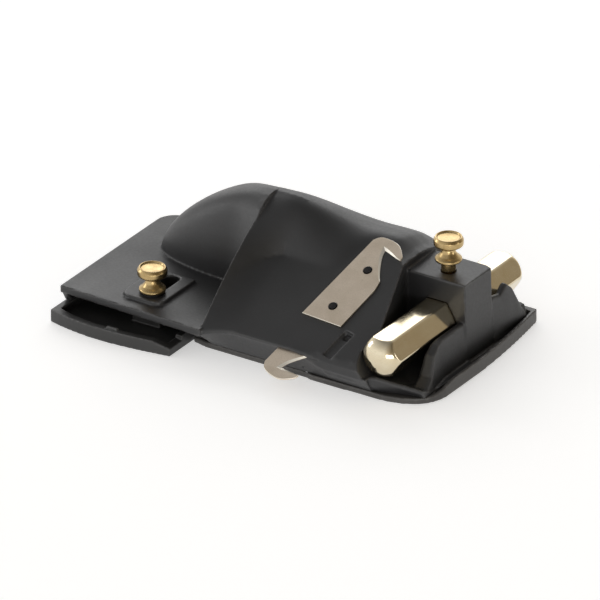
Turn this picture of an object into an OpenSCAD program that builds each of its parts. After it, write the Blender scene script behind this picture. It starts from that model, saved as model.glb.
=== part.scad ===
/* [Overall] */
// Length along the direction of travel, from the rear edge to the bowed nose
tool_l = 168.7; // [167:0.1:171]
// Distance from the guide's front corners to the far edge of the sole
far_y = 106.6; // [104:0.1:108]
// How far the guide's front edge bows out past its corners
guide_bow = 3.4; // [3:0.1:3.8]

/* [Body] */
// Wall of the moulded body
wall = 3; // [2.4:0.1:3.6]
// Angle of the slanted blade bed on the near side
bed_angle = 28; // [26:0.5:30]
// Height of the palm dome's ridge
dome_z = 52.4; // [50:0.2:54]
// Height of the rear deck
deck_z = 13.4; // [13:0.1:14]
// Thickness of the rear deck
deck_t = 3.2; // [2.8:0.1:3.6]
// Where the slanted flank starts, from the rear edge
flank_x = 67.5; // [66:0.5:69]
// Where the domed tail ends at the bar block
tail_x = 133; // [132:0.5:134]
// Height of the bar block
block_z = 35.7; // [35:0.1:37]
// Thickness of the sole plate
sole_t = 2.5; // [2:0.1:3]
// Height of the lip round the nose
lip_z = 5.8; // [5:0.1:6.5]

/* [Guide bar] */
// Side of the hexagon
bar_side = 9.2; // [9:0.1:9.4]
// Length of the bar
bar_l = 100; // [96:1:104]
// Distance of the bar's axis from the rear edge
bar_x = 147; // [146.5:0.1:147.5]
// Radial clearance between the bar and its tunnel
bar_fit = 0.1; // [0.05:0.05:0.2]

/* [Blades] */
// Thickness of a hook blade
blade_t = 0.65; // [0.6:0.05:0.8]
// Diameter of the holes in a blade
blade_hole_d = 3.6; // [3.2:0.1:4]
// Turn of the blades away from straight up the bed
blade_turn = 13.3; // [12:0.1:15]

/* [Edge guide] */
// Width of the sliding guide
guide_w = 57; // [55:0.5:58]
// Height of the guide's raised rim
guide_z = 5.4; // [5:0.1:5.6]
// Travel of the guide towards the body
guide_travel = 14; // [14:0.5:16]

/* [Thumb screws] */
// Diameter of the turned head
head_d = 12.2; // [11.8:0.1:12.8]
// Height of the head above the seat of its cone
head_h = 10.6; // [10:0.1:11]
// Diameter of the threaded shank
shank_d = 5; // [5:0.1:5.2]

/* [Hidden] */
$fn = 64;

bed_slope = tan(bed_angle);
bed_z0 = 10.2;
slot_gap = 0.75;
slot_depth = 1.9;
bar_z = 18;
bar_af = bar_side * sqrt(3);
bar_top = bar_z + bar_af / 2;
bar_y = 11.5;
mid = [tool_l / 2, (bar_y + bar_l - guide_bow) / 2, 0];
block_near = 57;
block_far = 78;
block_right = 160;
clamp_y = 65.6;
clamp_lift = 1.6;
pad_d = 12.6;
pad_h = 2.6;
insert_d = 8;
insert_cover = 1.4;
seat_gap = 4.6;
screw_x = 36.2;
screw_y = 19.4;
boss_x = 25.4;
boss_y = 12;
boss_w = 19.3;
boss_l = 26;
boss_z = deck_z + 1.6;
washer_d = 10.4;
washer_t = 0.8;
deck_far = 86;
deck_under = deck_z - deck_t;
skirt_y = 14.5;
corner_r = 9;
guide_gap = 0.3;
lip_w = 1.8;
guide_l = 60;
guide_floor = 2.6;
rim_w = 3.2;
key_w = 13;
key_y0 = 14.2;
key_y1 = 52;
body_x = guide_w + 1;
sole_hole = 3.4;
sole_spots = [[70, 24], [70, 76], [138, 24], [150, 97], [112, 100]];
spare_x = 105.1;
spare_y = 23.5;
cut_x = 110.9;
cut_y = 38.3;
hole_across = 8.7;
holes_along = [9.2, 30.2];
lock_d = 3;
lock_insert_d = 5;
magnet_d = 6;
magnet_t = 1.3;

function ramp(t) = t <= 0 ? 0 : t >= 1 ? 1 : t * t * (3 - 2 * t);
function bed(y) = bed_z0 + bed_slope * y;
function nose_x(y) = tool_l - 4.2 * pow((y - 44) / 56, 2);
function rim_x(y) = nose_x(y) - 3 * pow(max((31 - y) / 9.4, 0), 2);
rim_ys = [for (y = [22 : 3 : 103]) y];
function guide_front(t) = -guide_bow * sin(180 * pow(t, 0.85));
function bezier(a, b, c, d, t) =
  pow(1 - t, 3) * a + 3 * pow(1 - t, 2) * t * b + 3 * (1 - t) * t * t * c + pow(t, 3) * d;

// Ridge of the dome and its tail, seen along the direction of travel
function ridge_y(x) = 61 + 6 * ramp((x - 72) / 46);
function ridge_z(x) = dome_z - 8.6 * ramp((x - 74) / 36) - 4.6 * ramp((x - 122) / 11);
function knee_y(x) = 44.3 + 15.7 * ramp((x - 104) / 16) - 6 * ramp((x - 122) / 11);
function far_edge(x) = deck_far + (far_y - 1 - deck_far) * ramp((x - 62) / 50);

// The near side runs up from the sole, turns over the skirt's edge and follows the bed.
// Towards the nose the edge sinks; towards the rear the bed lifts into a wing.
function mix(a, b, t) = a + (b - a) * t;
function sink(x) = ramp((x - 110) / 15);
function wing(x) = pow(min(max((83 - x) / 15.5, 0), 1), 1.5);
function skirt(x, w) =
  let (
    d = sink(x),
    high = [[9.4, 12.4], [8.2, 14], [8.8, bed(8.8)], [10.5, bed(10.5)]],
    low = [[11.2, 6.2], [8.8, 9.6], [8.3, 12.8], [10.2, bed(10.2) - 0.2]]
  )
  concat(
    [[skirt_y + w, sole_t - (w > 0 ? 1 : 0)]],
    [for (i = [0 : 3]) mix(high[i], low[i], d) + [w, -w]]
  );
function wing_z(y) =
  14 + 0.98 * (y - 7.2) - 0.0049 * pow(y - 7.2, 2) - 0.6 * pow(max(y - 52, 0) / 9, 2);

// One cross-section of the body in front of the flank edge, inset by w
steps = 9;
bed_steps = 4;
function near_side(x, w) =
  let (
    ky = knee_y(x),
    ry = ridge_y(x),
    rz = ridge_z(x) - w,
    edge = skirt(x, w),
    turn = edge[4],
    knee = [ky + w * 0.5, bed(ky) - w]
  )
  concat(
    edge,
    [for (i = [1 : bed_steps])
      let (y = mix(turn[0], knee[0], pow(i / bed_steps, 1.3)))
        [y, mix(turn[1], knee[1], (y - turn[0]) / (knee[0] - turn[0]))]],
    [for (i = [1 : steps]) bezier(knee, knee + [2.6, 4.4 * (rz - knee[1]) / 18],
      [ry - (ry - ky) * 0.5, rz], [ry, rz], i / steps)]
  );
function wing_side(count) =
  let (start = [7.2, 14], run = count - 5)
  concat(
    [[skirt_y, sole_t], [6.2, 9.6], [4.9, 10.8], [5.4, 12.3], start],
    [for (i = [1 : run]) let (y = mix(start[0], ridge_y(flank_x), i / run)) [y, wing_z(y)]]
  );
function flank_section(x, w) =
  let (
    floor_z = sole_t - (w > 0 ? 1 : 0),
    near = near_side(x, w),
    lifted = wing_side(len(near)),
    f = w > 0 ? 0 : wing(x),
    ridge = near[len(near) - 1],
    far = far_edge(x) - w
  )
  concat(
    [for (i = [0 : len(near) - 1]) mix(near[i], lifted[i], f)],
    [for (i = [1 : steps]) let (a = 90 * i / steps)
      [mix(ridge[0], far, pow(sin(a), 1.1)), mix(floor_z, ridge[1], pow(max(cos(a), 0), 1.1))]]
  );

// One cross-section of the rear dome above the deck, inset by w
function rear_section(x, w) =
  let (
    u = (flank_x + 1 - x) / 54,
    rise = (dome_z - deck_z) * pow(1 - pow(u, 1.55), 0.62) - w,
    flare = 7.5 * pow(max(1 - 3.4 * u, 0), 2),
    near = 15 * pow(1 - pow(u, 2.6), 0.45) + flare - w,
    far = 24.5 * pow(1 - pow(u, 2.6), 0.45) - w,
    full = 0.75 + 0.42 * ramp(1 - 2.4 * u),
    foot = w > 0 ? deck_under - 1 : deck_z - 1
  )
  concat(
    [[61 - near, foot]],
    [for (i = [0 : 2 * steps])
      let (a = 90 * i / steps, side = a < 90 ? near : far, e = a < 90 ? 0.85 : full)
      [61 - side * sign(cos(a)) * pow(abs(cos(a)), e), deck_z + max(rise, 1) * pow(sin(a), e)]],
    [[61 + far, foot]]
  );

// A closed solid through cross-sections that all have the same number of points
module loft(xs, sections) {
  n = len(sections[0]);
  m = len(xs);
  points = [for (k = [0 : m - 1], p = sections[k]) [xs[k], p[0], p[1]]];
  sides = [for (k = [0 : m - 2], i = [0 : n - 1])
    let (j = (i + 1) % n, a = k * n + i, b = k * n + j, c = (k + 1) * n + j, d = (k + 1) * n + i)
      each [[a, b, c], [a, c, d]]];
  first = [[for (i = [0 : n - 1]) n - 1 - i]];
  last = [[for (i = [0 : n - 1]) (m - 1) * n + i]];
  polyhedron(points, concat(first, last, sides), convexity = 6);
}

module place() {
  translate([-mid[0], -mid[1], 0]) children();
}

// Local frame of the slanted bed: x along travel, y up the slope, z out of the bed
module on_bed(x, y, depth) {
  translate([x, y, bed(y)]) rotate([bed_angle, 0, 0]) translate([0, 0, -depth]) children();
}

module spare_frame() {
  on_bed(spare_x, spare_y, 0) rotate([0, 0, -blade_turn]) children();
}

module cutting_frame() {
  on_bed(cut_x, cut_y, slot_depth) rotate([0, 0, -blade_turn]) mirror([0, 1, 0]) children();
}

module flank_stage(w, x0, x1) {
  count = 22;
  xs = [for (k = [0 : count]) x0 + (x1 - x0) * k / count];
  loft(xs, [for (x = xs) flank_section(x, w)]);
}

module rear_stage(w) {
  count = 20;
  start = flank_x + 1 - 54 + w + 0.4;
  xs = [for (k = [0 : count]) start + (flank_x + 1 - start) * pow(k / count, 1.3)];
  loft(xs, [for (x = xs) rear_section(x, w)]);
}

module plan_prism(points, z0, z1) {
  translate([0, 0, z0]) linear_extrude(z1 - z0) polygon(points);
}

module along_y(points, y0, y1) {
  translate([0, y1, 0]) rotate([90, 0, 0]) linear_extrude(y1 - y0) polygon(points);
}

module hex_channel(y0, y1, gap) {
  r = bar_side + gap * 2 / sqrt(3);
  translate([bar_x, y1, bar_z]) rotate([90, 0, 0]) cylinder(h = y1 - y0, r = r, $fn = 6);
}

// Rear deck with a rounded far corner, its downward rails and the slotted boss
module rear_deck() {
  translate([0, 0, deck_under]) linear_extrude(deck_t) union() {
    polygon([[0, 6.8], [flank_x + 1, 4.4], [flank_x + 1, deck_far], [corner_r, deck_far],
      [0, deck_far - corner_r]]);
    translate([corner_r, deck_far - corner_r]) circle(corner_r);
  }
  end_leg();
  for (side = [-1, 1])
    rail(screw_x + side * (key_w / 2 + guide_gap + 1.5) - 1.5,
      screw_x + side * (key_w / 2 + guide_gap + 1.5) + 1.5, key_y0, key_y1 + guide_travel);
  rail(corner_r, body_x + 2, deck_far - rim_w, deck_far);
  boss();
}

module rail(x0, x1, y0, y1) {
  translate([x0, y0, guide_z + guide_gap])
    cube([x1 - x0, y1 - y0, deck_under - guide_z - guide_gap + 0.5]);
}

// Leg under the deck's rear edge, cut back where it meets the guide
module end_leg() {
  foot = guide_z + guide_gap;
  rotate([90, 0, 90]) linear_extrude(rim_w)
    polygon([[7.6, deck_under + 0.5], [10.2, foot], [deck_far - corner_r, foot],
      [deck_far - corner_r, deck_under + 0.5]]);
}

module boss() {
  corner = 4;
  translate([boss_x, boss_y, deck_z - 1]) linear_extrude(boss_z - deck_z + 1) union() {
    translate([0, corner]) square([boss_w, boss_l - corner]);
    translate([corner, 0]) square([boss_w - 2 * corner, corner + 1]);
    for (x = [corner, boss_w - corner]) translate([x, corner]) circle(corner);
  }
}

// Wall that closes the body behind the sliding guide
module rear_wall() {
  translate([body_x, 0, 0]) rotate([90, 0, 90]) linear_extrude(flank_x - body_x + 1)
    polygon([[16.2, sole_t], [13, deck_under + 1], [deck_far, deck_under + 1], [deck_far, sole_t]]);
}

module bar_block() {
  intersection() {
    along_y([[tail_x - 2, sole_t], [tail_x - 2, block_z], [block_right, block_z],
      [block_right + 1.5, sole_t]], block_near, block_far);
    plan_prism([[tail_x - 3, block_near], [170, block_near], [170, block_far - 4],
      [block_right + 1, block_far - 1.5], [block_right - 2.5, block_far], [tail_x - 3, block_far]],
      0, 50);
  }
}

// Apron under the near end of the bar: the skirt's edge runs on, sinks and turns in to the nose
function apron_section(x) =
  let (
    t = ramp((x - 134) / 30),
    edge = mix(8.9, 19, t),
    top = mix(10.8, 5, t)
  )
  [[mix(skirt_y, 20.5, pow(t, 1.5)), sole_t], [edge + 1.2, mix(7, sole_t + 1, t)], [edge, top],
    [edge + 0.8, top + 1.4], [26, mix(9.4, 3, t)], [57.5, mix(9.8, 2.8, t)], [57.5, sole_t]];
module apron() {
  xs = [tail_x - 9, 130, 136, 142, 146, 150, 154, 158, 161, 163, 164.6];
  loft(xs, [for (x = xs) apron_section(x)]);
}

// Wall along the bar's outer side, from a low fin in front of the block to a gusset behind it
module bar_wall() {
  stations = [
    [21, 4.8, 163.2, 164], [24, 5.6, 164, 164.8], [28, 8, 163.4, 164.4], [32, 15.7, 162, 163.4],
    [36, 18.6, 161.2, 162.8], [40, 19.3, 160.6, 162], [57.5, 19.3, 159.9, 161.6],
    [78.7, 21.7, 159.9, 161.6], [84, 20.6, 160.2, 162], [88, 23.9, 160.4, 162.2],
    [91.9, 20.5, 160.8, 162.4], [97.2, 10.6, 161.8, 163], [100.3, 5.5, 162.6, 163.4]
  ];
  inner = 157;
  mirror([1, -1, 0]) loft(
    [for (s = stations) s[0]],
    [for (s = stations) [[inner, sole_t], [inner, s[1] - 1.2], [inner + 1, s[1]], [s[2] - 0.6, s[1]],
      [s[2], s[1] - 0.8], [s[3], sole_t]]]
  );
}

module front_base() {
  apron();
  bar_wall();
  along_y([[tail_x - 2, sole_t], [tail_x - 2, 12], [160, 9], [162.5, sole_t]], 77, 102);
}

// Bed beside the bar, and the thick bed that holds the cutting blade
module bed_wedge() {
  x = tail_x - 2;
  intersection() {
    plan_prism([[x, 8], [x, 54.5], [tail_x, 54.5], [138.9, 31.7], [142.2, 19.5], [144, 12], [144.4, 7]],
      sole_t, 45);
    translate([x, 0, 0]) rotate([90, 0, 90]) linear_extrude(16)
      polygon(concat(skirt(x, 0), [[56, bed(56)], [56, sole_t]]));
  }
}

module blade_bed() {
  top = 46;
  foot = 20;
  translate([96, 0, 0]) rotate([90, 0, 90]) linear_extrude(36)
    polygon([[skirt_y + 1, sole_t], [13, 11], [13, bed(13) - 1], [top, bed(top) - 1],
      [top, bed(top) - 7.5], [foot, bed(foot) - 7.5], [foot, sole_t]]);
}

module screw_bosses() {
  for (p = sole_spots) translate([p[0], p[1], sole_t]) cylinder(h = 9, d = 8);
}

// Outline of a hook blade: length up, back edge on the left, mouth to the right
module blade_outline() {
  polygon([[0, 0], [18.6, 3.2], [18.2, 24], [17, 28.6], [14.2, 31.4], [11.3, 35.1], [9, 38.6],
    [7.9, 41.5], [17.1, 40.9], [16.6, 42.6], [15, 44.1], [12.6, 45.8], [9.8, 46.7], [5.6, 46.6],
    [1.9, 45.5], [0, 42.9]]);
}

module blade_pocket() {
  polygon([[-0.8, -6], [-0.8, 43.2], [1.6, 46.8], [5.4, 47.8], [10, 47.8], [13.4, 46.8],
    [18, 44.2], [19.4, 38], [26, 20], [26, -6]]);
}

module at_blade_holes() {
  for (s = holes_along) translate([hole_across, s, 0]) children();
}

module blade() {
  linear_extrude(blade_t) difference() {
    blade_outline();
    at_blade_holes() circle(d = blade_hole_d);
  }
}

module blade_slot() {
  cutting_frame() translate([-0.6, -0.6, -slot_gap / 2]) cube([19.8, 60, slot_gap]);
}

// Shallow groove beside the stored blade, with a deeper well at its upper end
module bed_groove() {
  l = 14;
  on_bed(123.2, 10, 1.3) rotate([0, 0, -blade_turn]) {
    cube([4.2, l, 4]);
    translate([0.8, l - 3.4, -1.2]) cube([2.6, 2.6, 4]);
  }
}

module guide_slot() {
  w = shank_d + 1.2;
  translate([screw_x - w / 2, screw_y, deck_under - 1]) cube([w, guide_travel, 8]);
  for (y = [screw_y, screw_y + guide_travel])
    translate([screw_x, y, deck_under - 1]) cylinder(h = 8, d = w);
}

module main_body() {
  place() color([0.13, 0.13, 0.135]) difference() {
    union() {
      difference() {
        union() {
          flank_stage(0, flank_x, tail_x);
          rear_stage(0);
          rear_wall();
        }
        flank_stage(wall, flank_x + wall, tail_x - wall);
      }
      rear_deck();
      bar_block();
      front_base();
      bed_wedge();
      blade_bed();
      screw_bosses();
    }
    hex_channel(-30, 130, bar_fit);
    translate([bar_x, clamp_y, bar_z]) cylinder(h = 40, d = shank_d + 0.9);
    translate([bar_x, clamp_y, bar_z]) cylinder(h = block_z - insert_cover - bar_z, d = insert_d);
    translate([bar_x, clamp_y, bar_z]) cylinder(h = bar_af / 2 + pad_h + clamp_lift + 0.6, d = pad_d + 0.4);
    guide_slot();
    blade_slot();
    spare_frame() linear_extrude(30) blade_pocket();
    bed_groove();
    spare_frame() at_blade_holes() translate([0, 0, -1.4]) cylinder(h = 2, d = blade_hole_d - 0.4);
    spare_frame() translate([hole_across, 23.5, -magnet_t]) cylinder(h = 4, d = magnet_d);
    cutting_frame() at_blade_holes() translate([0, 0, -12]) cylinder(h = 12, d = lock_insert_d);
    for (p = sole_spots) translate([p[0], p[1], 0]) cylinder(h = 10, d = sole_hole);
  }
}

// Flat sole under the body, with a ledge and a raised lip round the nose
module sole_outline() {
  polygon(concat(
    [[body_x, 16.2], [65, 14.7], [112, 14.5], [116, 13.4], [150, 14.2], [157, 16], [162, 18.8]],
    [for (y = rim_ys) [rim_x(y), y]],
    [[nose_x(105.6), 105.6], [162.6, far_y]],
    [for (x = [112 : -9 : 58]) [x, far_edge(x)]],
    [[body_x, deck_far]]
  ));
}

// Raised lip that climbs out of the near corner and runs round the nose
module lip() {
  ys = concat(rim_ys, [105.6]);
  mirror([1, -1, 0]) loft(ys, [for (y = ys)
    let (z = mix(sole_t + 0.1, lip_z, ramp((y - 22) / 16)), x = rim_x(y))
      [[x - lip_w, sole_t - 0.5], [x - lip_w, z], [x - 0.2, z], [x, sole_t - 0.5]]]);
}

module nose_strip(inset, z0, z1, y0, y1) {
  translate([0, 0, z0]) linear_extrude(z1 - z0) intersection() {
    sole_outline();
    polygon(concat(
      [[tool_l + 5, y0], [tool_l + 5, y1]],
      [for (i = [0 : 16]) let (y = mix(y1, y0, i / 16)) [nose_x(max(y, 24)) - inset, y]]
    ));
  }
}

module body_foot() {
  plan_prism([[100, 10], [167, 10], [167, 22.6], [166, 24], [163.3, 33], [163, 57], [163, 90],
    [163.8, 100], [163.8, 112], [100, 112]], -1, 20);
}

module sole_plate() {
  trench = 1.1;
  place() color([0.16, 0.16, 0.165]) difference() {
    union() {
      difference() {
        linear_extrude(sole_t) sole_outline();
        difference() {
          nose_strip(7.5, trench, sole_t + 1, 24.5, 101);
          nose_strip(lip_w, trench - 1, sole_t + 2, 20, 106);
          body_foot();
        }
      }
      lip();
      nose_strip(9, sole_t - 0.5, lip_z, 102.8, 106);
      translate([164.4, 66.8, trench]) cube([2.2, 1.5, 3.8]);
    }
    for (p = sole_spots) translate([p[0], p[1], -1]) cylinder(h = 5, d = sole_hole);
    for (p = sole_spots) translate([p[0], p[1], -0.1]) cylinder(h = 2.2, d1 = 7.4, d2 = sole_hole);
    cutting_frame() at_blade_holes() translate([0, 0, -50]) cylinder(h = 46, d = lock_insert_d);
  }
}

module sole_screws() {
  shank = sole_hole / 2 - 0.02;
  place() color([0.35, 0.35, 0.36])
    for (p = sole_spots) translate([p[0], p[1], 0]) rotate_extrude()
      polygon([[0, 0.3], [3.2, 0.3], [shank, 1.95], [shank, 9.6], [0, 9.6]]);
}

// Sliding guide with a raised rim, a notch in its front rim and a key under the boss
module guide_outline(inset) {
  polygon(concat(
    [for (i = [0 : 12]) let (t = i / 12) [inset + (guide_w - 2 * inset) * t, inset + guide_front(t)]],
    [[guide_w - inset, guide_l], [inset, guide_l]]
  ));
}

module edge_guide() {
  place() color([0.15, 0.15, 0.155]) difference() {
    union() {
      difference() {
        linear_extrude(guide_z) guide_outline(0);
        translate([0, 0, guide_floor]) linear_extrude(guide_z) intersection() {
          guide_outline(rim_w);
          square([guide_w, 40]);
        }
      }
      translate([screw_x - key_w / 2, key_y0, guide_floor - 1])
        cube([key_w, key_y1 - key_y0, deck_under - 0.1 - guide_floor + 1]);
      translate([27.8, -1.8, guide_z - 1]) cube([5.4, 1.7, 1.9]);
    }
    translate([screw_x, screw_y, 1.4]) cylinder(h = 20, d = insert_d);
    translate([guide_w - 8, -10, guide_z]) rotate([0, 14, 0]) cube([14, 19, 4]);
  }
}

module guide_insert() {
  place() color([0.72, 0.58, 0.32])
    translate([screw_x, screw_y, 1.4]) ring(8, insert_d, shank_d + 0.1);
}

module ring(h, outer, inner) {
  difference() {
    cylinder(h = h, d = outer);
    translate([0, 0, -1]) cylinder(h = h + 2, d = inner);
  }
}

module rear_washer() {
  place() color([0.2, 0.2, 0.2])
    translate([screw_x, screw_y, boss_z]) ring(washer_t, washer_d, shank_d + 0.1);
}

// Turned screw: dished disc head, narrow waist, conical seat and plain shank below z = 0
module thumb_screw(shank) {
  rotate_extrude() polygon([
    [0, -shank], [shank_d / 2 - 0.4, -shank], [shank_d / 2, -shank + 0.5], [shank_d / 2, 0],
    [4.6, 0], [5.4, 0.7], [5.4, 1.6], [3.4, 3.6], [2.9, 5], [3.2, 5.8], [5.6, 6.6],
    [head_d / 2, 7.2], [head_d / 2, 9.9], [5.7, head_h], [4.8, head_h], [4.2, head_h - 0.7],
    [0, head_h - 0.7]
  ]);
}

module rear_thumb_screw() {
  place() color([0.83, 0.69, 0.4])
    translate([screw_x, screw_y, boss_z + washer_t]) thumb_screw(boss_z + washer_t - 1.6);
}

module bar_insert() {
  z0 = bar_top + pad_h + clamp_lift + 0.6;
  place() color([0.72, 0.58, 0.32])
    translate([bar_x, clamp_y, z0]) ring(block_z - insert_cover - z0, insert_d, shank_d + 0.1);
}

module clamp_pad() {
  place() color([0.5, 0.5, 0.5])
    translate([bar_x, clamp_y, bar_top + 0.02]) difference() {
      cylinder(h = pad_h, d = pad_d);
      translate([0, 0, 1]) cylinder(h = pad_h, d = shank_d + 0.1);
    }
}

module front_thumb_screw() {
  seat = block_z + seat_gap;
  place() color([0.83, 0.69, 0.4])
    translate([bar_x, clamp_y, seat]) thumb_screw(seat - bar_top - 1.02);
}

// Hexagonal bar with domed ends
module guide_bar() {
  dome = 7.5;
  r = bar_side + 0.1;
  curve = [for (i = [0 : 8]) let (a = 90 * i / 8) [r * sin(a), dome * (1 - cos(a))]];
  place() color([0.85, 0.83, 0.76])
    translate([bar_x, bar_y + bar_l, bar_z]) rotate([90, 0, 0]) intersection() {
      cylinder(h = bar_l, r = bar_side, $fn = 6);
      rotate_extrude() polygon(concat(curve,
        [for (i = [8 : -1 : 0]) [curve[i][0], bar_l - curve[i][1]]]));
    }
}

module cutting_blade() {
  place() color([0.72, 0.67, 0.6])
    cutting_frame() translate([0, 0, -blade_t / 2]) blade();
}

module blade_lock_inserts() {
  place() color([0.72, 0.58, 0.32])
    cutting_frame() at_blade_holes() translate([0, 0, -4.2]) ring(3.4, lock_insert_d, lock_d + 0.1);
}

module blade_lock_screws() {
  place() color([0.3, 0.3, 0.31])
    cutting_frame() at_blade_holes() translate([0, 0, -5]) cylinder(h = 5.2, d = lock_d);
}

module spare_blade() {
  place() color([0.72, 0.67, 0.6]) spare_frame() blade();
}

module spare_blade_pins() {
  place() color([0.12, 0.12, 0.12])
    spare_frame() at_blade_holes() translate([0, 0, -1.4]) cylinder(h = 2.4, d = blade_hole_d - 0.4);
}

module spare_blade_magnet() {
  place() color([0.6, 0.6, 0.6])
    spare_frame() translate([hole_across, 23.5, -magnet_t]) cylinder(h = magnet_t, d = magnet_d);
}

main_body();
sole_plate();
sole_screws();
edge_guide();
guide_insert();
rear_washer();
rear_thumb_screw();
bar_insert();
clamp_pad();
front_thumb_screw();
guide_bar();
cutting_blade();
blade_lock_inserts();
blade_lock_screws();
spare_blade();
spare_blade_pins();
spare_blade_magnet();
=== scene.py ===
import math

import bmesh
import bpy
import numpy as np
from mathutils import Matrix, Vector


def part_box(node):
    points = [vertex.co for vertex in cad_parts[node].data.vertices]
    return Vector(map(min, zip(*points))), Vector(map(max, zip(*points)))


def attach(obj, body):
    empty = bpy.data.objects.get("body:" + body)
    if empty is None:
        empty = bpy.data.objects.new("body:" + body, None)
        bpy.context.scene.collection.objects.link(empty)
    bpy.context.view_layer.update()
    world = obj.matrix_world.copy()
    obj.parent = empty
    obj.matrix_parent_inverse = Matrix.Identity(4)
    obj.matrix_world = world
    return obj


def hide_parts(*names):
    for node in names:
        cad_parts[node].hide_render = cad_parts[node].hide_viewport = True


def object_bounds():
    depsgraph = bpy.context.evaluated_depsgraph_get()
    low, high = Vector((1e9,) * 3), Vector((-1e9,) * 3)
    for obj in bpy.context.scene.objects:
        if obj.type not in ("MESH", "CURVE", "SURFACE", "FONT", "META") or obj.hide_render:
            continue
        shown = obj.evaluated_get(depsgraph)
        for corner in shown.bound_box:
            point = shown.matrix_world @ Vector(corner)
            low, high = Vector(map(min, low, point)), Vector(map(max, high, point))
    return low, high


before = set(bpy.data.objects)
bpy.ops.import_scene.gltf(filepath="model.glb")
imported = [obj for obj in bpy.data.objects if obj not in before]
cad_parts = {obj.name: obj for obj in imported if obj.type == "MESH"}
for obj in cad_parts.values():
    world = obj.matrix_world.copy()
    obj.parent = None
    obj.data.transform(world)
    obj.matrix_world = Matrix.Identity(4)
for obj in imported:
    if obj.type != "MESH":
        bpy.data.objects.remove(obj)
cad_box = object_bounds()

MM = 0.001
BED_ANGLE = math.radians(28.0)
BLADE_TURN = math.radians(13.3)
BLADE_T = 0.65 * MM
# The lengths below are in millimetres
BLADE_HOLE_R = 1.8
BLADE_HOLES = [(8.7, 9.2), (8.7, 30.2)]
HEAD_H = 10.6
PITCH, CREST_R, ROOT_R = 0.8, 2.5, 2.12
BAR_DOME = 7.5
# Where the camera looks, from the middle of the object's footprint
LOOK_OFFSET = (1.32, -2.51, 11.34)
# Light panels: name, azimuth and elevation in degrees, distance and size in metres, power in watts
LIGHTS = [
    ("back", 213, 30, 1.6, (1.6, 0.6), 5.5),
    ("left", -75, 18, 1.3, (0.35, 0.5), 1.6),
    ("front", 38, 6, 1.6, (1.0, 0.3), 5),
    ("right", 105, 12, 1.5, (0.4, 0.4), 1.6),
]


# ---------------------------------------------------------------- mesh helpers

def centre(node):
    low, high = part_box(node)
    return (low + high) / 2


def new_piece(name, mesh, body, slot, material, *nodes):
    """A finished piece that rides on a body and stands for CAD nodes."""
    obj = bpy.data.objects.new(name, mesh)
    bpy.context.collection.objects.link(obj)
    mesh.materials.clear()
    mesh.materials.append(material)
    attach(obj, body)
    if nodes:
        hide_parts(*nodes)
    return obj


def mesh_from(name, bm, smooth=True):
    bmesh.ops.remove_doubles(bm, verts=bm.verts, dist=1e-7)
    bmesh.ops.recalc_face_normals(bm, faces=bm.faces)
    mesh = bpy.data.meshes.new(name)
    bm.to_mesh(mesh)
    bm.free()
    if smooth:
        mesh.shade_smooth()
    return mesh


def welded(node):
    """A copy of a CAD node's mesh with its split vertices joined."""
    bm = bmesh.new()
    bm.from_mesh(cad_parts[node].data)
    bmesh.ops.remove_doubles(bm, verts=bm.verts, dist=1e-6)
    mesh = bpy.data.meshes.new(node + "_copy")
    bm.to_mesh(mesh)
    bm.free()
    return mesh


def with_modifiers(mesh, *settings):
    """The mesh after a list of modifiers, each given as (type, {setting: value})."""
    obj = bpy.data.objects.new("working", mesh)
    bpy.context.collection.objects.link(obj)
    for kind, values in settings:
        modifier = obj.modifiers.new(kind, kind)
        for key, value in values.items():
            setattr(modifier, key, value)
    bpy.context.view_layer.update()
    done = bpy.data.meshes.new_from_object(
        obj.evaluated_get(bpy.context.evaluated_depsgraph_get()))
    bpy.data.objects.remove(obj)
    return done


def set_values(mesh, name, values):
    attribute = mesh.attributes.new(name, "FLOAT", "POINT")
    attribute.data.foreach_set("value", values.astype(np.float32))


def vertex_data(mesh, key):
    values = np.empty(len(mesh.vertices) * 3)
    if key == "co":
        mesh.vertices.foreach_get("co", values)
    else:
        mesh.vertex_normals.foreach_get("vector", values)
    return values.reshape(-1, 3)


def bridge(bm, rings):
    """Faces between one ring of vertices and the next; a ring of one vertex is a closed end."""
    count = max(len(ring) for ring in rings)
    for one, two in zip(rings, rings[1:]):
        for k in range(count):
            j = (k + 1) % count
            corners = [one[k % len(one)], one[j % len(one)], two[j % len(two)], two[k % len(two)]]
            unique = list(dict.fromkeys(corners))
            if len(unique) > 2:
                bm.faces.new(unique)


# ---------------------------------------------------------------- moulded parts

# An edge bends by at least this many degrees; a fully worn one stands out by so much
EDGE_ANGLE = 9.0
WORN_BULGE = 0.04 * MM
WEAR_SPREAD = 5


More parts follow.
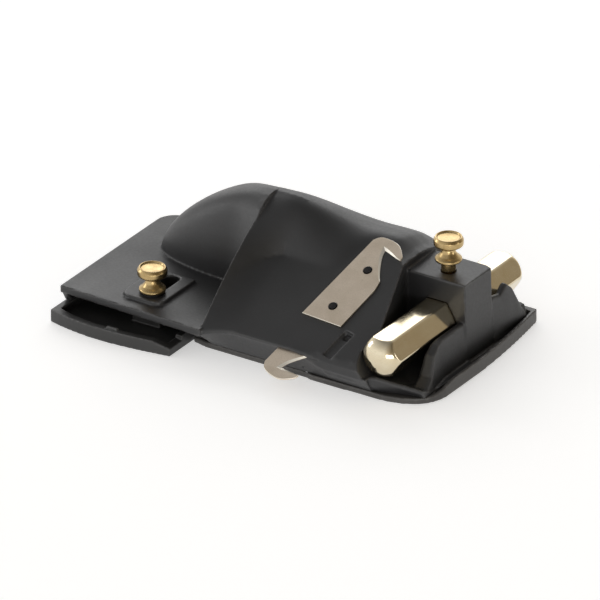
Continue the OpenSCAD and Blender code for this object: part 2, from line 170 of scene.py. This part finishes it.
def soften(mesh, rounding, evening, guard):
    """Rounds edges a little, evens out the flats of curved faces, and notes the worn edges."""
    n = len(mesh.vertices)
    ends = np.empty(len(mesh.edges) * 2, int)
    mesh.edges.foreach_get("vertices", ends)
    a, b = ends[0::2], ends[1::2]
    count = np.bincount(a, minlength=n) + np.bincount(b, minlength=n)

    def mean(values):
        total = np.bincount(a, values[b], n) + np.bincount(b, values[a], n)
        return total / count

    def relax(points, weight):
        around = np.stack([mean(points[:, k]) for k in range(3)], 1)
        return points + weight * (around - points)

    def store(points):
        mesh.vertices.foreach_set("co", points.ravel())
        mesh.update()

    co = relax(vertex_data(mesh, "co"), 0.5)
    store(co)
    normal = vertex_data(mesh, "normal")
    turn = 1 - np.einsum("ij,ij->i", normal[a], normal[b])
    sharp = np.zeros(n)
    bent = turn > 1 - math.cos(math.radians(EDGE_ANGLE))
    sharp[a[bent]] = 1
    sharp[b[bent]] = 1
    for _ in range(guard):
        sharp = np.maximum(sharp, (mean(sharp) > 0).astype(float))
    soft = 1 - sharp
    for _ in range(3):
        soft = np.minimum(soft, mean(soft))
    for _ in range(evening):
        co = relax(co, 0.5 * soft[:, None])
    for _ in range(rounding):
        co = relax(co, 0.5)
    store(co)
    normal = vertex_data(mesh, "normal")
    bulge = np.einsum("ij,ij->i", co - relax(co, 1.0), normal)
    wear = np.clip(bulge / WORN_BULGE, 0, 1)
    for _ in range(WEAR_SPREAD):
        wear = mean(wear)
    set_values(mesh, "wear", wear)


def moulded(name, node, body, slot, material, voxel, rounding=3, evening=60, guard=4, keep=0.35):
    """A CAD node rebuilt as a moulding with rounded edges and evenly curved faces."""
    mesh = with_modifiers(welded(node), ("REMESH", {
        "mode": "VOXEL", "voxel_size": voxel, "adaptivity": 0.0}))
    soften(mesh, rounding, evening, guard)
    mesh = with_modifiers(
        mesh,
        ("DECIMATE", {"ratio": keep}),
        ("WEIGHTED_NORMAL", {"weight": 80}))
    mesh.shade_smooth()
    return new_piece(name, mesh, body, slot, material, node)


# ---------------------------------------------------------------- turned parts

def eased(points, radius, steps=4):
    """The profile with each corner replaced by a short curve."""
    out = [points[0]]
    for before, here, after in zip(points, points[1:], points[2:]):
        p, q, r = (Vector(v) for v in (before, here, after))
        into = min(radius, (q - p).length * 0.45)
        leave = min(radius, (r - q).length * 0.45)
        start = q + (p - q).normalized() * into
        end = q + (r - q).normalized() * leave
        for i in range(steps + 1):
            t = i / steps
            out.append(tuple((1 - t) ** 2 * start + 2 * t * (1 - t) * q + t * t * end))
    out.append(points[-1])
    return out


def lathe(name, profile, x, y, z, segments=128):
    """Turns a profile of (radius, height) pairs in millimetres about an upright axis."""
    bm = bmesh.new()
    layer = bm.verts.layers.float.new("turned")
    rings = []
    length = 0.0
    for i, (r, h) in enumerate(profile):
        if i:
            length += math.dist(profile[i - 1], (r, h)) * MM
        ring = []
        for k in range(segments if r > 1e-6 else 1):
            angle = 2 * math.pi * k / segments
            vert = bm.verts.new((x + r * MM * math.cos(angle), y + r * MM * math.sin(angle), z + h * MM))
            vert[layer] = length
            ring.append(vert)
        rings.append(ring)
    bridge(bm, rings)
    return mesh_from(name, bm)


def threaded_shank(end, top):
    """Profile of a shank from its lower end to its plain neck, with a groove for each turn."""
    grooves = []
    for i in range(int((top - end - PITCH) / PITCH)):
        start = end + PITCH * (i + 1)
        grooves += [(ROOT_R, start), (CREST_R, start + PITCH / 2)]
    return [(0.0, end), (1.9, end), (ROOT_R, end + 0.3)] + grooves


def thumb_screw(name, node, body, material, neck):
    """A turned screw: dished head, waist, conical seat and a grooved shank."""
    c = centre(node)
    low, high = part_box(node)
    seat = high.z - HEAD_H * MM
    top = -neck - 0.3
    collar = [(3.0, -neck), (3.0, -0.25)] if neck > 0.5 else [(2.5, -0.05)]
    cone = [(3.2, 0.0), (5.2, 0.0), (5.5, 0.3), (5.5, 1.1), (5.1, 1.5), (4.1, 2.3), (3.1, 3.6)]
    waist = [(2.65, 4.8), (2.7, 5.4), (3.6, 6.0), (5.3, 6.6)]
    rim = [(6.0, 7.1), (6.1, 7.6), (6.1, 9.4), (5.4, 10.5), (5.1, 10.6), (4.85, 10.5)]
    dish = [(4.5, 9.9), (2.0, 9.75), (0.0, 9.75)]
    profile = threaded_shank((low.z - seat) / MM, top)
    profile += eased([(ROOT_R, top)] + collar + cone + waist + rim + dish, 0.3)
    return new_piece(name, lathe(name, profile, c.x, c.y, seat), body, "polished_brass", material, node)


# ---------------------------------------------------------------- bar

def bar_radius(angle, side, cap):
    """Distance from the bar's axis to its surface: a hexagon, cut at its corners and by its dome."""
    sharpness, corner = 90, 0.985
    off = math.radians(math.degrees(angle) % 60 - 30)
    flat = math.cos(math.radians(30)) / math.cos(off)
    return side * sum(r ** -sharpness for r in (flat, cap / side, corner)) ** (-1 / sharpness)


def hex_bar(name, node, body, material):
    """The hexagonal bar: crisp long edges and smoothly domed ends."""
    low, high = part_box(node)
    c = centre(node)
    side = (high.x - low.x) / 2
    length = high.y - low.y
    dome = BAR_DOME * MM
    segments, ends = 144, 26
    stations = [dome * (1 - math.cos(math.radians(90 * i / ends))) for i in range(ends + 1)]
    stations += [length / 2] + [length - s for s in reversed(stations)]
    bm = bmesh.new()
    rings = []
    for s in stations:
        near = min(s, length - s)
        u = 1 - min(near / dome, 1.0)
        cap = (side + 0.1 * MM) * math.sqrt(max(1 - u * u, 0.0))
        ring = []
        for k in range(segments if near > 1e-9 else 1):
            angle = 2 * math.pi * k / segments
            r = bar_radius(angle, side, cap) if near > 1e-9 else 0.0
            ring.append(bm.verts.new((c.x + r * math.cos(angle), low.y + s, c.z + r * math.sin(angle))))
        rings.append(ring)
    bridge(bm, rings)
    return new_piece(name, mesh_from(name, bm), body, "nickel_bar", material, node)


# ---------------------------------------------------------------- blades

def blade_outline():
    """The hook blade's edge as (x, y, bevel width, lip height) in millimetres, anticlockwise."""
    side_bevel, lip = 0.12, 0.53
    straight = [(0.0, 0.0), (18.6, 3.2), (18.2, 24.0), (17.0, 28.6)]
    back = [(15.0, 44.1), (12.6, 45.8), (9.8, 46.7), (5.6, 46.6), (1.9, 45.5), (0.0, 42.9)]
    mouth = curve_through([(17.0, 28.6), (14.2, 31.4), (11.3, 35.1), (9.0, 38.6), (7.9, 41.5)], 5)
    tip = curve_through([(7.9, 41.5), (10.5, 41.4), (14.0, 41.0), (17.1, 40.9)], 5)
    crown = curve_through([(17.1, 40.9), (16.6, 42.6)] + back, 4)
    out = [(x, y, side_bevel, lip) for x, y in straight[:-1]]
    for i, (x, y) in enumerate(mouth):
        t = i / (len(mouth) - 1)
        out.append((x, y, side_bevel + 1.05 * t ** 0.6, lip - 0.4 * min(1, 5 * t)))
    for i, (x, y) in enumerate(tip[1:]):
        t = (i + 1) / (len(tip) - 1)
        out.append((x, y, side_bevel + 1.05 * (1 - t), 0.13 + 0.4 * t ** 6))
    out += [(x, y, side_bevel, lip) for x, y in crown[1:]]
    return out


def curve_through(points, steps):
    """A smooth curve through the points, with so many steps between two of them."""
    out = []
    for i in range(len(points) - 1):
        p0, p1, p2, p3 = (Vector(points[min(max(k, 0), len(points) - 1)]) for k in range(i - 1, i + 3))
        for j in range(steps):
            t = j / steps
            out.append(tuple(0.5 * (2 * p1 + (p2 - p0) * t + (2 * p0 - 5 * p1 + 4 * p2 - p3) * t * t
                                    + (3 * p1 - 3 * p2 + p3 - p0) * t ** 3)))
    out.append(tuple(points[-1]))
    return out


def hole_outline(x, y):
    """A hole's edge, clockwise, with a wider chamfer than the outline has."""
    count, chamfer, lip = 40, 0.22, 0.43
    turns = [-2 * math.pi * k / count for k in range(count)]
    return [(x + BLADE_HOLE_R * math.cos(a), y + BLADE_HOLE_R * math.sin(a), chamfer, lip) for a in turns]


def blade_mesh(name, matrix):
    """A thin blade: a flat back, chamfered sides and a ground bevel round its mouth."""
    bm = bmesh.new()
    ground = bm.faces.layers.float.new("ground")
    top, bottom = [], []
    for loop in [blade_outline()] + [hole_outline(x, y) for x, y in BLADE_HOLES]:
        n = len(loop)
        rows = [[], [], []]
        for i, (x, y, bevel, lip) in enumerate(loop):
            before, after = Vector(loop[i - 1][:2]), Vector(loop[(i + 1) % n][:2])
            here = Vector((x, y))
            d1, d2 = (here - before).normalized(), (after - here).normalized()
            inward = Vector((-(d1.y + d2.y), d1.x + d2.x))
            inward = inward.normalized() / max(0.5, math.sqrt((1 + d1.dot(d2)) / 2))
            inner = here + inward * bevel
            rows[0].append(bm.verts.new((x * MM, y * MM, 0)))
            rows[1].append(bm.verts.new((x * MM, y * MM, lip * MM)))
            rows[2].append(bm.verts.new((inner.x * MM, inner.y * MM, BLADE_T)))
        for one, two in zip(rows, rows[1:]):
            for i in range(n):
                j = (i + 1) % n
                face = bm.faces.new((one[i], one[j], two[j], two[i]))
                face[ground] = 1.0 if two is rows[2] else 0.0
        for row, edges in ((rows[0], bottom), (rows[2], top)):
            edges += [bm.edges.get((row[i], row[(i + 1) % n])) for i in range(n)]
    for edges in (bottom, top):
        bmesh.ops.triangle_fill(bm, use_beauty=True, use_dissolve=False, edges=edges)
    bmesh.ops.transform(bm, matrix=matrix, verts=bm.verts)
    return mesh_from(name, bm, smooth=False)


def blade(name, node, body, material, flip):
    """A hook blade set on the CAD blade's box; flip turns its hook down the bed."""
    turn = Matrix.Rotation(BED_ANGLE, 4, "X") @ Matrix.Rotation(-BLADE_TURN, 4, "Z")
    if flip:
        turn = turn @ Matrix.Scale(-1, 4, Vector((0, 1, 0)))
    mesh = blade_mesh(name, turn)
    co = vertex_data(mesh, "co")
    middle = Vector((co.min(0) + co.max(0)) / 2)
    mesh.transform(Matrix.Translation(centre(node) - middle))
    return new_piece(name, mesh, body, "blade_steel", material, node)


# ---------------------------------------------------------------- materials

class Finish:
    """A material being wired: a Principled shader and the few nodes it needs."""

    def __init__(self, name, colour, roughness, metallic=0.0):
        self.material = bpy.data.materials.new(name)
        self.material.use_nodes = True
        self.tree = self.material.node_tree
        self.shader = self.tree.nodes["Principled BSDF"]
        self.shader.inputs["Base Color"].default_value = (*colour, 1)
        self.shader.inputs["Roughness"].default_value = roughness
        self.shader.inputs["Metallic"].default_value = metallic
        self.place = self.add("ShaderNodeTexCoord").outputs["Object"]

    def add(self, kind, **values):
        node = self.tree.nodes.new(kind)
        for key, value in values.items():
            setattr(node, key, value)
        return node

    def link(self, out, into):
        self.tree.links.new(out, into)

    def noise(self, scale, detail=3.0, stretch=None, rough=0.5, turn=(0, 0, 0)):
        """Noise over the piece, scale in waves per metre; stretch squeezes the axes."""
        node = self.add("ShaderNodeTexNoise")
        node.inputs["Scale"].default_value = scale
        node.inputs["Detail"].default_value = detail
        node.inputs["Roughness"].default_value = rough
        vector = self.place
        if stretch:
            mapping = self.add("ShaderNodeMapping")
            mapping.inputs["Scale"].default_value = stretch
            mapping.inputs["Rotation"].default_value = turn
            self.link(vector, mapping.inputs["Vector"])
            vector = mapping.outputs["Vector"]
        self.link(vector, node.inputs["Vector"])
        return node.outputs["Fac"]

    def line_noise(self, attribute, scale):
        """Noise along one stored length, such as a turned profile."""
        source = self.add("ShaderNodeAttribute", attribute_name=attribute)
        node = self.add("ShaderNodeTexNoise", noise_dimensions="1D")
        node.inputs["Scale"].default_value = scale
        node.inputs["Detail"].default_value = 2.0
        self.link(source.outputs["Fac"], node.inputs["W"])
        return node.outputs["Fac"]

    def stored(self, attribute):
        return self.add("ShaderNodeAttribute", attribute_name=attribute).outputs["Fac"]

    def span(self, value, low, high, new_low=0.0, new_high=1.0):
        node = self.add("ShaderNodeMapRange", clamp=True)
        limits = {"From Min": low, "From Max": high, "To Min": new_low, "To Max": new_high}
        for key, number in limits.items():
            node.inputs[key].default_value = number
        self.link(value, node.inputs["Value"])
        return node.outputs["Result"]

    def sum(self, one, two, operation="ADD"):
        node = self.add("ShaderNodeMath", operation=operation)
        for k, value in enumerate((one, two)):
            if isinstance(value, (int, float)):
                node.inputs[k].default_value = value
            else:
                self.link(value, node.inputs[k])
        return node.outputs["Value"]

    def blend(self, factor, one, two):
        """A colour between two, each a tuple or an earlier blend."""
        node = self.add("ShaderNodeMix", data_type="RGBA")
        self.link(factor, node.inputs["Factor"])
        for key, value in ((6, one), (7, two)):
            if isinstance(value, tuple):
                node.inputs[key].default_value = (*value, 1)
            else:
                self.link(value, node.inputs[key])
        return node.outputs[2]

    def paint(self, colour):
        self.link(colour, self.shader.inputs["Base Color"])

    def gloss(self, roughness):
        self.link(roughness, self.shader.inputs["Roughness"])

    def bump(self, height, distance, strength=1.0, under=None):
        node = self.add("ShaderNodeBump")
        node.inputs["Distance"].default_value = distance
        node.inputs["Strength"].default_value = strength
        self.link(height, node.inputs["Height"])
        if under:
            self.link(under, node.inputs["Normal"])
        self.link(node.outputs["Normal"], self.shader.inputs["Normal"])
        return node.outputs["Normal"]


def plastic(name, tone, roughness, rubbed):
    """Satin black moulding: spark texture, faint mottling and edges rubbed paler."""
    f = Finish(name, tone, roughness)
    f.shader.inputs["Specular IOR Level"].default_value = 0.62
    cloud = f.noise(38, 4, rough=0.6)
    grain = f.noise(1700, 2)
    dark = tuple(c * 0.82 for c in tone)
    light = tuple(c * 1.25 for c in tone)
    base = f.blend(f.span(cloud, 0.3, 0.7), dark, light)
    scuff = f.span(f.noise(260, 5, stretch=(1, 5, 3), rough=0.65), 0.6, 0.78, 0, 0.35)
    base = f.blend(scuff, base, tuple(c * 1.9 for c in tone))
    patchy = f.span(f.noise(420, 4), 0.38, 0.62, 0.35, 1)
    edge = f.sum(f.span(f.stored("wear"), 0.25, 1.0), patchy, "MULTIPLY")
    base = f.blend(f.sum(edge, rubbed, "MULTIPLY"), base, (0.13, 0.125, 0.12))
    f.paint(base)
    rough = f.span(cloud, 0.25, 0.75, roughness - 0.05, roughness + 0.06)
    rough = f.sum(rough, f.span(f.noise(900, 3), 0.3, 0.7, -0.04, 0.04))
    f.gloss(f.sum(rough, f.sum(edge, 0.1, "MULTIPLY"), "SUBTRACT"))
    under = f.bump(f.noise(120, 2), 0.05 * MM, 0.25)
    f.bump(grain, 0.03 * MM, 0.35, under)
    return f.material


def turned_metal(name, tone, roughness, tarnish):
    """Turned brass: fine tool rings along the profile and a patchy warm tarnish."""
    f = Finish(name, tone, roughness, 1.0)
    rings = f.line_noise("turned", 9000)
    patch = f.noise(300, 4, rough=0.6)
    speck = f.noise(2600, 2)
    base = f.blend(f.span(patch, 0.35, 0.72, 0, 0.8), tone, tarnish)
    base = f.blend(f.span(speck, 0.62, 0.75, 0, 0.5), base, tuple(c * 0.75 for c in tarnish))
    f.paint(base)
    f.gloss(f.sum(f.span(patch, 0.3, 0.7, roughness - 0.04, roughness + 0.07),
                  f.span(rings, 0.3, 0.7, -0.03, 0.03)))
    f.bump(rings, 0.012 * MM, 0.5)
    return f.material


def plated_bar():
    """Polished nickel over brass: long draw lines, a warm cast and small cloudy patches."""
    f = Finish("polished_nickel", (0.72, 0.63, 0.46), 0.14, 1.0)
    lines = f.noise(1, 3, stretch=(2600, 14, 2600))
    cloud = f.noise(110, 4, rough=0.6)
    base = f.blend(f.span(cloud, 0.35, 0.7), (0.74, 0.66, 0.49), (0.66, 0.56, 0.38))
    base = f.blend(f.span(f.noise(700, 3), 0.64, 0.76, 0, 0.4), base, (0.50, 0.41, 0.28))
    f.paint(base)
    f.gloss(f.sum(f.span(cloud, 0.3, 0.7, 0.09, 0.17), f.span(lines, 0.3, 0.7, -0.02, 0.04)))
    f.bump(lines, 0.004 * MM, 0.5)
    return f.material


def blade_steel():
    """Satin blade steel: a fine grain along the blade, faint stains and a warm tone."""
    f = Finish("blade_steel", (0.84, 0.73, 0.60), 0.34, 1.0)
    turn = (0, 0, BLADE_TURN)
    grain = f.noise(1, 3, stretch=(160, 5200, 160), turn=turn)
    fine = f.noise(1900, 3)
    stain = f.noise(90, 4, rough=0.62)
    base = f.blend(f.span(stain, 0.35, 0.7), (0.88, 0.76, 0.63), (0.74, 0.63, 0.50))
    base = f.blend(f.span(fine, 0.35, 0.7, 0, 0.35), base, (0.62, 0.53, 0.41))
    f.paint(f.blend(f.sum(f.stored("ground"), 0.8, "MULTIPLY"), base, (1.0, 0.97, 0.88)))
    f.gloss(f.sum(f.span(grain, 0.3, 0.7, 0.3, 0.42), f.span(fine, 0.3, 0.7, -0.04, 0.04)))
    f.bump(grain, 0.006 * MM, 0.6)
    return f.material


def plain_steel(name, tone, roughness, spot):
    """Small steel parts: plated or oxidised, with mottling and fine pitting."""
    f = Finish(name, tone, roughness, 1.0)
    mottle = f.noise(500, 4, rough=0.6)
    pits = f.noise(2400, 3)
    base = f.blend(f.span(mottle, 0.35, 0.7), tone, spot)
    f.paint(f.blend(f.span(pits, 0.6, 0.75, 0, 0.5), base, tuple(c * 0.55 for c in spot)))
    f.gloss(f.sum(f.span(mottle, 0.3, 0.7, roughness - 0.06, roughness + 0.1),
                  f.span(pits, 0.3, 0.7, -0.03, 0.05)))
    f.bump(pits, 0.01 * MM, 0.4)
    return f.material


def give(node, material):
    """A carried-over CAD node takes a finished material in every slot."""
    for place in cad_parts[node].material_slots:
        place.material = material


# ---------------------------------------------------------------- stage

def floor_material():
    f = Finish("floor_paper", (0.86, 0.86, 0.86), 0.7)
    f.paint(f.blend(f.noise(6, 3), (0.86, 0.86, 0.865), (0.88, 0.88, 0.88)))
    f.bump(f.noise(900, 3), 0.02 * MM, 0.1)
    f.shader.inputs["Emission Color"].default_value = (1, 1, 1, 1)
    f.shader.inputs["Emission Strength"].default_value = 0.45
    return f.material


def floor():
    size = 6.0
    bm = bmesh.new()
    bmesh.ops.create_grid(bm, x_segments=8, y_segments=8, size=size)
    mesh = bpy.data.meshes.new("floor")
    bm.to_mesh(mesh)
    bm.free()
    obj = bpy.data.objects.new("floor", mesh)
    obj.location.z = cad_box[0][2] - 0.05 * MM
    mesh.materials.append(floor_material())
    bpy.context.collection.objects.link(obj)


def surroundings():
    """A white room, brightest near the horizon, dim and warm on the right."""
    world = bpy.data.worlds.new("studio")
    bpy.context.scene.world = world
    world.use_nodes = True
    nodes, links = world.node_tree.nodes, world.node_tree.links

    def ramp(axis, start, end, first, last):
        """A value that goes from first to last as the direction's axis goes from start to end."""
        node = nodes.new("ShaderNodeMapRange")
        for key, number in {"From Min": start, "From Max": end, "To Min": first, "To Max": last}.items():
            node.inputs[key].default_value = number
        links.new(split.outputs[axis], node.inputs["Value"])
        return node.outputs["Result"]

    place = nodes.new("ShaderNodeTexCoord")
    split = nodes.new("ShaderNodeSeparateXYZ")
    links.new(place.outputs["Generated"], split.inputs["Vector"])
    height = ramp("Z", 0.25, 0.95, 1.05, 0.3)
    side = ramp("X", 0.15, 0.65, 1.0, 0.3)
    both = nodes.new("ShaderNodeMath")
    both.operation = "MULTIPLY"
    links.new(height, both.inputs[0])
    links.new(side, both.inputs[1])
    links.new(both.outputs["Value"], nodes["Background"].inputs["Strength"])
    tint = nodes.new("ShaderNodeMix")
    tint.data_type = "RGBA"
    tint.inputs[6].default_value = (1, 0.8, 0.5, 1)
    tint.inputs[7].default_value = (1, 0.995, 0.985, 1)
    links.new(side, tint.inputs["Factor"])
    links.new(tint.outputs[2], nodes["Background"].inputs["Color"])


def softbox(name, azimuth, elevation, distance, size, power):
    """A light panel that looks at the object; azimuth 0 is the near side, anticlockwise."""
    a, e = math.radians(azimuth), math.radians(elevation)
    away = Vector((math.sin(a) * math.cos(e), -math.cos(a) * math.cos(e), math.sin(e)))
    data = bpy.data.lights.new(name, "AREA")
    data.shape = "RECTANGLE"
    data.size, data.size_y = size
    data.energy = power
    obj = bpy.data.objects.new(name, data)
    obj.location = away * distance
    obj.rotation_euler = away.to_track_quat("Z", "Y").to_euler()
    obj.visible_camera = False
    bpy.context.collection.objects.link(obj)


def camera():
    """The photograph's view: a long lens, a third round from the near side and 27 degrees up."""
    azimuth, elevation = math.radians(33.0), math.radians(27.0)
    middle = (Vector(cad_box[0]) + Vector(cad_box[1])) / 2
    look = Vector((middle.x, middle.y, 0)) + Vector(LOOK_OFFSET) * MM
    distance = 6.0
    away = Vector((math.sin(azimuth) * math.cos(elevation),
                   -math.cos(azimuth) * math.cos(elevation), math.sin(elevation)))
    data = bpy.data.cameras.new("camera")
    data.lens = 900.0
    data.sensor_width = 36.0
    data.clip_start = 0.01
    data.clip_end = 50.0
    obj = bpy.data.objects.new("camera", data)
    obj.location = look + away * distance
    obj.rotation_euler = away.to_track_quat("Z", "Y").to_euler()
    bpy.context.collection.objects.link(obj)
    bpy.context.scene.camera = obj


# ---------------------------------------------------------------- the object

def build():
    body_plastic = plastic("body_moulding", (0.0135, 0.0135, 0.0145), 0.46, 0.45)
    sole_plastic = plastic("sole_moulding", (0.036, 0.0335, 0.031), 0.46, 0.9)
    guide_plastic = plastic("guide_moulding", (0.018, 0.0178, 0.0175), 0.46, 0.6)
    polished = turned_metal("polished_brass", (0.52, 0.385, 0.19), 0.25, (0.40, 0.28, 0.12))
    brass = turned_metal("brass_insert", (0.80, 0.62, 0.32), 0.3, (0.66, 0.47, 0.22))
    steel = blade_steel()
    black = plain_steel("black_oxide", (0.035, 0.035, 0.037), 0.42, (0.055, 0.052, 0.05))
    zinc = plain_steel("zinc_plate", (0.55, 0.56, 0.57), 0.34, (0.66, 0.65, 0.62))

    moulded("body_moulding", "main_body", "tool_body", "body_plastic", body_plastic, 0.38 * MM)
    moulded("sole", "sole_plate", "tool_body", "sole_plastic", sole_plastic, 0.38 * MM, 2, 20)
    moulded("guide", "edge_guide", "guide", "guide_plastic", guide_plastic, 0.36 * MM, 2, 20)
    thumb_screw("rear_screw", "rear_thumb_screw", "rear_screw", polished, 0.0)
    thumb_screw("front_screw", "front_thumb_screw", "front_screw", polished, 4.3)
    hex_bar("bar", "guide_bar", "bar", plated_bar())
    blade("stored_blade", "spare_blade", "stored_blade", steel, False)
    blade("working_blade", "cutting_blade", "tool_body", steel, True)
    for node in ("guide_insert", "bar_insert", "blade_lock_inserts"):
        give(node, brass)
    for node in ("rear_washer", "blade_lock_screws", "spare_blade_pins"):
        give(node, black)
    for node in ("clamp_pad", "sole_screws", "spare_blade_magnet"):
        give(node, zinc)


build()
floor()
surroundings()
for light in LIGHTS:
    softbox(*light)
camera()
bpy.context.scene.view_settings.view_transform = "Standard"
